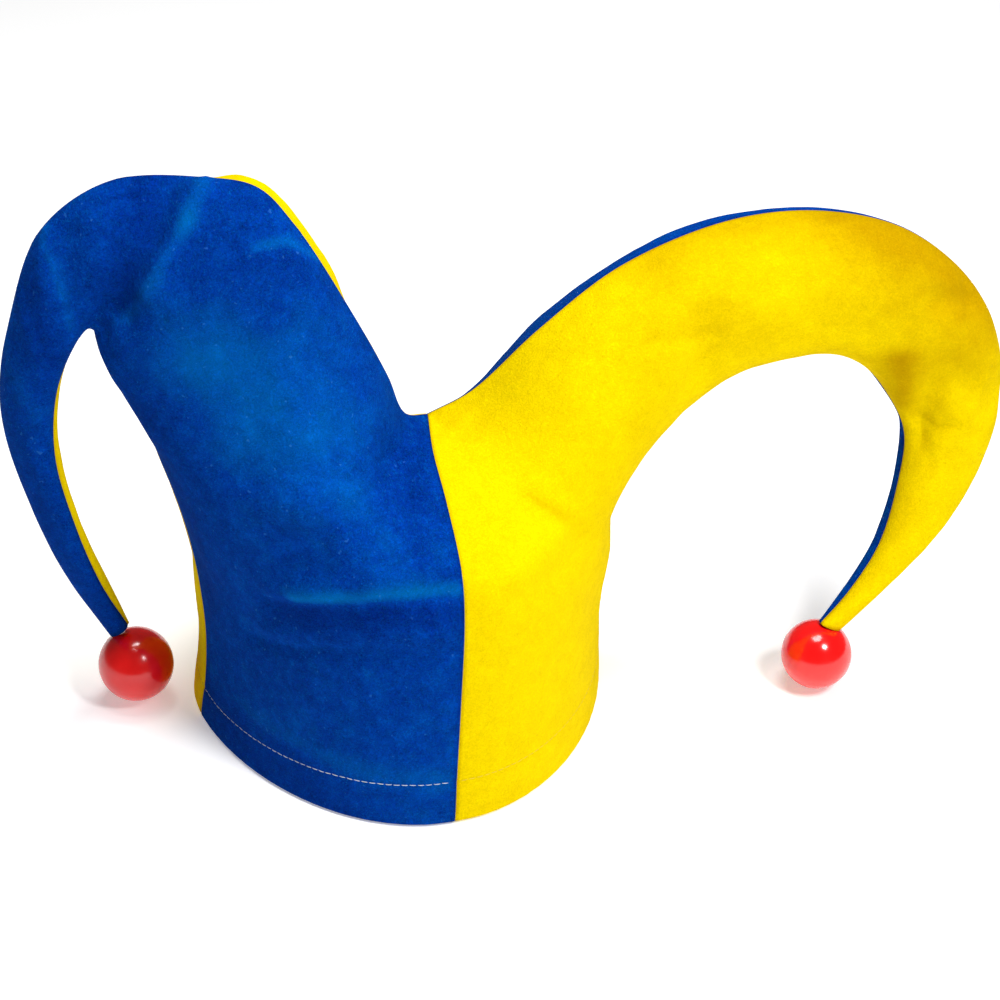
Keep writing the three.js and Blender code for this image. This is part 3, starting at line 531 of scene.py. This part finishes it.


# The felt's outer skin: the CAD surface drawn fine, with its folds, creases, seams and hem, and the painted
# light and painted shade for its colour.
def felt_skin(side, face):
    knots = coarse_rows(side)
    coarse = section_points(rails_of(side, face, knots), np.linspace(0, 1, COARSE_ACROSS + 1))
    coarse = eased(coarse, knots)
    rows, columns = panel_rows(side), panel_columns()
    skin = spline(knots, coarse, rows)
    skin = spline(np.linspace(0, 1, COARSE_ACROSS + 1), skin.transpose(1, 0, 2), columns).transpose(1, 0, 2)
    exact = rails_of(side, face, rows)
    for column, rail, share in ((0, 0, columns), (-1, 3, 1 - columns)):
        slip = exact[:, rail] - skin[:, column]
        skin = skin + slip[:, None] * np.clip(1 - share / 0.08, 0, 1)[None, :, None] ** 2
    inland = np.clip(np.minimum(columns, 1 - columns) / 0.2, 0, 1)[None, 1:-1, None]
    for _ in range(SMOOTHING_ROUNDS):
        mean = (skin[:-2, 1:-1] + skin[2:, 1:-1]) / 2
        moved = skin[1:-1, 1:-1] + (mean - skin[1:-1, 1:-1]) * 0.5 * inland
        skin[1:-1, 1:-1] = np.where((rows[1:-1] > 1.5)[:, None, None], moved, skin[1:-1, 1:-1])
    valley = int(np.searchsorted(rows, VALLEY_ROW))
    normal = outward(skin, side, face, valley)
    fade = np.clip(np.minimum(columns, 1 - columns) / FOLD_FADE, 0, 1)[None, :]
    lift = fold_lift(FOLDS, side, face, skin) * fade * FOLD_DEPTH
    lift += mark_lift(CREASES, side, face, skin) * np.clip(fade * 3, 0, 1)

    steps = np.linalg.norm(np.diff(skin, axis=1), axis=-1)
    from_under = np.concatenate([np.zeros((len(rows), 1)), np.cumsum(steps, 1)], 1)
    from_ridge = from_under[:, -1:] - from_under
    near_seam = np.minimum(from_under, from_ridge)
    high = np.clip((rows - 1) / 1.2, 0, 1)[:, None]
    calm = np.clip(near_seam / 16, 0, 1)
    lift += unevenness(skin, 38) * 0.42 * high * calm
    lift += unevenness(skin, 15) * 0.16 * high * calm
    lift += unevenness(skin, 5.5) * 0.06 * calm
    lift -= 0.38 * np.exp(-((near_seam / 0.8) ** 2)) + 0.08 * np.exp(-((near_seam / 3.0) ** 2))
    height = skin[..., 2]
    lift -= 0.34 * np.exp(-(((height - stitch_line(side, columns)) / 0.8) ** 2)) * (rows < 1.9)[:, None]
    lift += 0.25 * np.exp(-(((height - 9) / 7) ** 2)) * (rows < 1.6)[:, None]
    round_edge = np.clip(1.4 - height, 0, 1.4)
    lift -= 1.4 - np.sqrt(np.maximum(1.4**2 - round_edge**2, 0))
    if (side, face) == (LEFT, BACK):
        lift -= 1.5 * np.exp(-(((from_ridge - 6) / 6) ** 2)) * np.clip(rows - 9.5, 0, 1)[:, None]
    skin = skin + normal * lift[..., None]
    skin += np.array([side, face, 0]) * LOOKS_GAP / 2
    skin[0, :, 2] = 0
    layers = np.where(rows <= HEM_TOP_ROW, 2, 1)[:, None, None]
    taper = np.clip(near_seam / 6, 0.06, 1)[..., None]
    inner = skin - outward(skin, side, face, valley) * layers * taper * FELT_THICKNESS
    inner[0, :, 2] = 0
    # Painted light and painted shade from the marks table, a darker line along the seams, and small random
    # changes in tone, given to the felt material per vertex.
    painted_shade_and_tone = mark_lift(PAINTED_LIGHT_MARKS, side, face, skin) / HORN_DEPTH
    painted_shade_and_tone -= 0.5 * np.exp(-((near_seam / 1.4) ** 2))
    painted_shade_and_tone += unevenness(skin, 26) * 0.07 + unevenness(skin, 9) * 0.05
    return skin, inner, outward(skin, side, face, valley), painted_shade_and_tone


def to_frame(points):
    return (points + SHIFT) * MM


def new_object(name, vertices, faces, material, smooth=True):
    mesh = bpy.data.meshes.new(name)
    mesh.from_pydata(vertices.tolist(), [], faces)
    mesh.validate()
    mesh.polygons.foreach_set("use_smooth", [smooth] * len(mesh.polygons))
    mesh.materials.append(material)
    obj = bpy.data.objects.new(name, mesh)
    bpy.context.scene.collection.objects.link(obj)
    return obj


# Quads between neighbouring lines of a grid of vertex numbers.
def grid_faces(ids, flip):
    a, b = ids[:-1, :-1].ravel(), ids[:-1, 1:].ravel()
    c, d = ids[1:, 1:].ravel(), ids[1:, :-1].ravel()
    quads = np.stack([a, d, c, b] if flip else [a, b, c, d], 1)
    return quads.tolist()


def panel(name, side, face, material):
    outer, inner, normal, painted_shade_and_tone = felt_skin(side, face)
    lines, columns = outer.shape[:2]
    vertices = to_frame(np.concatenate([outer.reshape(-1, 3), inner.reshape(-1, 3)]))
    out = np.arange(lines * columns).reshape(lines, columns)
    ins = out + lines * columns
    flip = side * face < 0
    faces = grid_faces(out, flip) + grid_faces(ins, not flip)
    for edge, way in (((out[0], ins[0])), not flip), (((out[-1], ins[-1])), flip), \
            (((out[:, 0], ins[:, 0])), flip), (((out[:, -1], ins[:, -1])), not flip):
        faces += grid_faces(np.stack(edge), way)
    obj = new_object(name, vertices, faces, material)
    # The painted light and painted shade, together with the random tone, go to the material as a vertex
    # attribute.
    shade = obj.data.attributes.new("painted_shade_and_tone", "FLOAT", "POINT")
    shade.data.foreach_set("value", np.concatenate([painted_shade_and_tone.ravel(), painted_shade_and_tone.ravel()]).astype(np.float32))
    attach(obj, "root")
    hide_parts(name.replace("felt_", "panel_"))
    return outer, normal


# A round thread along a line of points.
def tube(points, radius, sides=6):
    tangent = unit(np.gradient(points, axis=0))
    helper = np.array([0.0, 0.0, 1.0]) if abs(tangent[0][2]) < 0.9 else np.array([1.0, 0.0, 0.0])
    u = unit(np.cross(tangent, helper))
    v = np.cross(tangent, u)
    angle = np.linspace(0, 2 * math.pi, sides, endpoint=False)
    radii = np.broadcast_to(np.asarray(radius, float), (len(points),))
    ring = points[:, None] + radii[:, None, None] * (
        u[:, None] * np.cos(angle)[None, :, None] + v[:, None] * np.sin(angle)[None, :, None])
    vertices = ring.reshape(-1, 3)
    faces = []
    for i in range(len(points) - 1):
        for k in range(sides):
            j = (k + 1) % sides
            faces.append([i * sides + k, i * sides + j, (i + 1) * sides + j, (i + 1) * sides + k])
    faces.append(list(range(sides))[::-1])
    faces.append([(len(points) - 1) * sides + k for k in range(sides)])
    return vertices, faces


def joined(parts):
    vertices, faces, count = [], [], 0
    for v, f in parts:
        vertices.append(v)
        faces += [[index + count for index in face] for face in f]
        count += len(v)
    return np.concatenate(vertices), faces


# The hem's running stitches on one panel, laid on the felt.
def stitches(outer, normal, side):
    heights = stitch_line(side, panel_columns())
    line = np.array([
        [np.interp(heights[j], outer[:34, j, 2], outer[:34, j, k]) for k in range(3)]
        for j in range(outer.shape[1])])
    out = unit(np.array([
        [np.interp(heights[j], outer[:34, j, 2], normal[:34, j, k]) for k in range(3)]
        for j in range(outer.shape[1])]))
    run = np.concatenate([[0], np.cumsum(np.linalg.norm(np.diff(line, axis=0), axis=1))])
    parts = []
    start = 1.6
    while start + STITCH_LENGTH < run[-1] - 1.6:
        length = STITCH_LENGTH * rng.uniform(0.92, 1.06)
        at = np.linspace(start, start + length, 9)
        here = np.stack([np.interp(at, run, line[:, k]) for k in range(3)], 1)
        up = np.stack([np.interp(at, run, out[:, k]) for k in range(3)], 1)
        arch = np.sin(np.linspace(0, math.pi, 9)) ** 0.6
        sway = rng.uniform(-0.14, 0.14)
        here = here + up * (arch[:, None] * 0.26 - 0.14)
        here[:, 2] += np.linspace(-sway, sway, 9)
        parts.append(tube(here, STITCH_RADIUS * (0.75 + 0.25 * arch)))
        start += length + STITCH_SPACE
    return joined(parts)


def ramp(tree, source, stops):
    made = tree.nodes.new("ShaderNodeValToRGB")
    tree.links.new(source, made.inputs["Fac"])
    elements = made.color_ramp.elements
    elements[0].position, elements[0].color = stops[0][0], stops[0][1]
    elements[1].position, elements[1].color = stops[-1][0], stops[-1][1]
    for position, colour in stops[1:-1]:
        elements.new(position).color = colour
    return made.outputs["Color"]


def grey(value):
    return (value, value, value, 1)


def mix(tree, kind, share, a, b):
    made = tree.nodes.new("ShaderNodeMix")
    made.data_type = "RGBA"
    made.blend_type = kind
    for key, value in (("Factor", share), ("A", a), ("B", b)):
        wanted = "VALUE" if key == "Factor" else "RGBA"
        socket = next(s for s in made.inputs if s.name == key and s.type == wanted)
        if hasattr(value, "is_linked"):
            tree.links.new(value, socket)
        else:
            socket.default_value = value
    return next(s for s in made.outputs if s.type == "RGBA")


# Pressed fibres: a soft mottle, a web of fine light hairs, and small pale and dark specks, with painted
# light and painted shade laid on from the panel's vertex attribute.
def felt_material(name, dark, plain, light, hair, speck, bump, sheen, depth, painted_light_and_tone_colour, painted_shade_and_tone_colour):
    made = bpy.data.materials.new(name)
    made.use_nodes = True
    tree = made.node_tree
    shader = tree.nodes["Principled BSDF"]
    place = tree.nodes.new("ShaderNodeTexCoord").outputs["Object"]

    def noise(scale, detail=4.0, rough=0.6, distortion=0.0, at=place):
        n = tree.nodes.new("ShaderNodeTexNoise")
        n.inputs["Scale"].default_value = scale
        n.inputs["Detail"].default_value = detail
        n.inputs["Roughness"].default_value = rough
        n.inputs["Distortion"].default_value = distortion
        tree.links.new(at, n.inputs["Vector"])
        return n.outputs["Fac"]

    def hairs(scale, turn):
        mapping = tree.nodes.new("ShaderNodeMapping")
        mapping.inputs["Rotation"].default_value = turn
        mapping.inputs["Scale"].default_value = (1.0, 0.16, 1.0)
        tree.links.new(place, mapping.inputs["Vector"])
        return noise(scale, 3.0, 0.6, 1.6, mapping.outputs["Vector"])

    mottle = noise(170, 6.0, 0.7, 0.5)
    fine = noise(1150, 2.0, 0.6, 0.8)
    colour = ramp(tree, mottle, [(0.30, (*dark, 1)), (0.52, (*plain, 1)), (0.74, (*light, 1))])
    grain = ramp(tree, fine, [(0.34, grey(1 - depth)), (0.52, grey(1.0)), (0.68, grey(1 + depth))])
    colour = mix(tree, "MULTIPLY", 1.0, colour, grain)
    webs = []
    for scale, turn in ((1000, (0.3, 0.5, 0.2)), (1150, (1.2, 0.2, 1.1)), (1080, (0.4, 1.3, 2.2))):
        webs.append(ramp(tree, hairs(scale, turn), [(0.56, grey(0)), (0.72, grey(1))]))
    web = mix(tree, "LIGHTEN", 1.0, mix(tree, "LIGHTEN", 1.0, webs[0], webs[1]), webs[2])
    colour = mix(tree, "MIX", mix(tree, "MULTIPLY", 1.0, web, grey(hair[1])), colour, (*hair[0], 1))
    pale = ramp(tree, noise(430, 1.0, 0.5), [(0.735, grey(0)), (0.77, grey(speck[1]))])
    colour = mix(tree, "MIX", pale, colour, (*speck[0], 1))
    # Painted light and painted shade: where the attribute is above 0, the painted light colour is added;
    # where it is below 0, the felt is darkened towards the painted shade colour. Small random changes in
    # tone ride on the same attribute.
    painted_shade_and_tone = tree.nodes.new("ShaderNodeAttribute")
    painted_shade_and_tone.attribute_name = "painted_shade_and_tone"
    lit = ramp(tree, painted_shade_and_tone.outputs["Fac"], [(0.0, grey(0)), (1.0, grey(1))])
    dim = tree.nodes.new("ShaderNodeMath")
    dim.operation = "MULTIPLY"
    dim.inputs[1].default_value = -1
    tree.links.new(painted_shade_and_tone.outputs["Fac"], dim.inputs[0])
    dim = ramp(tree, dim.outputs["Value"], [(0.0, grey(0)), (1.0, grey(1))])
    white = (1, 1, 1, 1)
    colour = mix(tree, "MULTIPLY", 1.0, colour, mix(tree, "MIX", dim, white, (*painted_shade_and_tone_colour, 1)))
    colour = mix(tree, "ADD", 1.0, colour, mix(tree, "MULTIPLY", 1.0, lit, (*painted_light_and_tone_colour, 1)))
    tree.links.new(colour, shader.inputs["Base Color"])

    height = mix(tree, "ADD", 0.7, fine, mottle)
    height = mix(tree, "ADD", 0.5, height, web)
    relief = tree.nodes.new("ShaderNodeBump")
    relief.inputs["Strength"].default_value = bump
    relief.inputs["Distance"].default_value = 0.0007
    tree.links.new(height, relief.inputs["Height"])
    tree.links.new(relief.outputs["Normal"], shader.inputs["Normal"])
    shader.inputs["Roughness"].default_value = 0.93
    shader.inputs["Specular IOR Level"].default_value = 0.015
    shader.inputs["Sheen Weight"].default_value = sheen[0]
    shader.inputs["Sheen Roughness"].default_value = 0.45
    shader.inputs["Sheen Tint"].default_value = (*sheen[1], 1)
    return made


def plastic_material():
    made = bpy.data.materials.new("ball_plastic")
    made.use_nodes = True
    tree = made.node_tree
    shader = tree.nodes["Principled BSDF"]
    place = tree.nodes.new("ShaderNodeTexCoord").outputs["Object"]
    n = tree.nodes.new("ShaderNodeTexNoise")
    n.inputs["Scale"].default_value = 90
    n.inputs["Detail"].default_value = 4
    tree.links.new(place, n.inputs["Vector"])
    colour = ramp(tree, n.outputs["Fac"], [(0.3, (0.72, 0.004, 0.004, 1)), (0.7, (0.84, 0.008, 0.007, 1))])
    tree.links.new(colour, shader.inputs["Base Color"])
    rough = ramp(tree, n.outputs["Fac"], [(0.35, grey(0.16)), (0.75, grey(0.26))])
    tree.links.new(rough, shader.inputs["Roughness"])
    relief = tree.nodes.new("ShaderNodeBump")
    relief.inputs["Strength"].default_value = 0.08
    relief.inputs["Distance"].default_value = 0.0005
    tree.links.new(n.outputs["Fac"], relief.inputs["Height"])
    tree.links.new(relief.outputs["Normal"], shader.inputs["Normal"])
    shader.inputs["Coat Weight"].default_value = 0.14
    shader.inputs["Coat Roughness"].default_value = 0.06
    shader.inputs["Subsurface Weight"].default_value = 0.12
    shader.inputs["Subsurface Radius"].default_value = (0.004, 0.0006, 0.0005)
    return made


def thread_material(name, colour):
    made = bpy.data.materials.new(name)
    made.use_nodes = True
    tree = made.node_tree
    shader = tree.nodes["Principled BSDF"]
    place = tree.nodes.new("ShaderNodeTexCoord").outputs["Object"]
    wave = tree.nodes.new("ShaderNodeTexWave")
    wave.inputs["Scale"].default_value = 900
    wave.inputs["Distortion"].default_value = 2
    tree.links.new(place, wave.inputs["Vector"])
    dark = tuple(c * 0.72 for c in colour)
    twisted = ramp(tree, wave.outputs["Fac"], [(0.2, (*dark, 1)), (0.8, (*colour, 1))])
    tree.links.new(twisted, shader.inputs["Base Color"])
    shader.inputs["Roughness"].default_value = 0.7
    return made


# A moulded plastic ball with its parting line and a small hole for the thread.
def ball(name, node_name, part_normal, material):
    lo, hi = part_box(node_name)
    middle = np.array((lo + hi) / 2)
    radius = BALL_RADIUS[node_name]
    up = -unit(np.array(BALL_HANG[node_name]))
    side_way = unit(np.cross(up, [0.0, 1.0, 0.2]))
    other = np.cross(up, side_way)
    sides, rings = 96, 64
    hole = math.asin(1.3 * MM / radius)
    polar = np.linspace(hole, math.pi, rings)
    turn = np.linspace(0, 2 * math.pi, sides, endpoint=False)
    around = np.cos(turn)[None, :, None] * side_way + np.sin(turn)[None, :, None] * other
    way = (np.cos(polar)[:, None, None] * up + np.sin(polar)[:, None, None] * around)
    line = np.exp(-(((way @ unit(np.array(part_normal))) * radius / (0.35 * MM)) ** 2))
    reach = radius + line * 0.11 * MM
    outer = middle + way * reach[..., None]
    inner = middle + way[:8] * (radius - 1.2 * MM)
    hole_floor = middle + up * (radius - 4.0 * MM)
    vertices = np.concatenate([outer[:-1].reshape(-1, 3), outer[-1:, 0], inner.reshape(-1, 3), [hole_floor]])
    ids = np.arange((rings - 1) * sides).reshape(rings - 1, sides)
    ids = np.concatenate([ids, ids[:, :1]], 1)
    faces = grid_faces(ids, True)
    pole = (rings - 1) * sides
    faces += [[ids[-1, k], ids[-1, k + 1], pole][::-1] for k in range(sides)]
    deep = pole + 1 + np.arange(8 * sides).reshape(8, sides)
    deep = np.concatenate([deep, deep[:, :1]], 1)
    faces += grid_faces(np.stack([ids[0], deep[0]]), False)
    floor_point = len(vertices) - 1
    faces += [[deep[0, k], deep[0, k + 1], floor_point] for k in range(sides)]
    used = np.unique(np.concatenate([np.ravel(f) for f in faces]))
    remap = {int(old): new for new, old in enumerate(used)}
    faces = [[remap[int(v)] for v in f] for f in faces]
    obj = new_object(name, vertices[used], faces, material)
    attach(obj, "root")
    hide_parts(node_name)


# The part's frame starts at the middle of the hat's box, so the tables' frame is moved by this much.
SHIFT = np.array([-52.686, -0.017, 0.0])

# The last two colours of each felt are its painted light colour and its painted shade colour.
felt_blue = felt_material(
    "felt_blue_cloth", (0.0, 0.020, 0.205), (0.0, 0.034, 0.300), (0.0, 0.058, 0.415),
    ((0.0, 0.15, 0.60), 0.5), ((0.05, 0.25, 0.75), 0.25), 0.8, (0.10, (0.0, 0.35, 1.0)), 0.34,
    (0.0, 0.115, 0.19), (0.5, 0.30, 0.55))
felt_yellow = felt_material(
    "felt_yellow_cloth", (0.72, 0.515, 0.0), (0.77, 0.565, 0.0), (0.81, 0.61, 0.0),
    ((0.86, 0.72, 0.0), 0.35), ((0.45, 0.32, 0.0), 0.2), 0.5, (0.05, (1.0, 0.8, 0.0)), 0.10,
    (0.06, 0.05, 0.0), (0.58, 0.46, 0.4))
red = plastic_material()
pale_thread = thread_material("thread_pale", (0.62, 0.66, 0.72))
yellow_thread = thread_material("thread_yellow", (0.80, 0.60, 0.02))

PANELS = [
    ("felt_front_left", LEFT, FRONT, felt_blue, "felt_blue", pale_thread),
    ("felt_front_right", RIGHT, FRONT, felt_yellow, "felt_yellow", yellow_thread),
    ("felt_back_left", LEFT, BACK, felt_yellow, "felt_yellow", yellow_thread),
    ("felt_back_right", RIGHT, BACK, felt_blue, "felt_blue", pale_thread),
]
for name, side, face, cloth, slot_name, thread in PANELS:
    outer, normal = panel(name, side, face, cloth)
    vertices, faces = stitches(outer, normal, side)
    sewing = new_object(name.replace("felt_", "stitches_"), to_frame(vertices), faces, thread)
    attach(sewing, "root")

ball("ball_left_gloss", "ball_left", (0.75, 0.35, 0.55), red)
ball("ball_right_gloss", "ball_right", (0.2, -0.3, 0.93), red)

camera_data = bpy.data.cameras.new("camera")
camera = bpy.data.objects.new("camera", camera_data)
bpy.context.scene.collection.objects.link(camera)
azimuth, elevation, distance = math.radians(-15.2), math.radians(32.1), 1.05
back = Vector((
    math.sin(azimuth) * math.cos(elevation), -math.cos(azimuth) * math.cos(elevation), math.sin(elevation)))
target = Vector(((47.1 + SHIFT[0]) * MM, SHIFT[1] * MM, 91.9 * MM))
camera.location = target + back * distance
camera.rotation_mode = "QUATERNION"
camera.rotation_quaternion = (-back).to_track_quat("-Z", "Y")
camera_data.sensor_width = 36
camera_data.lens = 2354 * 36 / 1000
bpy.context.scene.camera = camera

floor_mesh = bpy.data.meshes.new("floor")
floor_corners = [(x, y, -0.0003) for x, y in ((-6, -6), (6, -6), (6, 6), (-6, 6))]
floor_mesh.from_pydata(floor_corners, [], [(0, 1, 2, 3)])
floor = bpy.data.objects.new("floor", floor_mesh)
bpy.context.scene.collection.objects.link(floor)
floor_material = bpy.data.materials.new("floor_white")
floor_material.use_nodes = True
floor_shader = floor_material.node_tree.nodes["Principled BSDF"]
floor_shader.inputs["Base Color"].default_value = (0.9, 0.9, 0.9, 1)
floor_shader.inputs["Roughness"].default_value = 0.9
floor_shader.inputs["Emission Color"].default_value = (1, 1, 1, 1)
floor_shader.inputs["Emission Strength"].default_value = 0.36
floor_mesh.materials.append(floor_material)

world = bpy.data.worlds.new("studio")
bpy.context.scene.world = world
world.use_nodes = True
world.node_tree.nodes["Background"].inputs["Color"].default_value = (1, 1, 1, 1)
world.node_tree.nodes["Background"].inputs["Strength"].default_value = 0.12


def light(name, place, size, power, aim=(0, 0, 0.1)):
    data = bpy.data.lights.new(name, "AREA")
    data.shape = "DISK"
    data.size = size
    data.energy = power
    obj = bpy.data.objects.new(name, data)
    obj.location = place
    obj.rotation_mode = "QUATERNION"
    obj.rotation_quaternion = (Vector(aim) - Vector(place)).to_track_quat("-Z", "Y")
    bpy.context.scene.collection.objects.link(obj)


light("key", (0.34, -0.66, 0.88), 0.26, 9.2)
light("top", (0.05, -0.05, 1.7), 0.8, 23.5)
bpy.context.scene.view_settings.view_transform = "Standard"
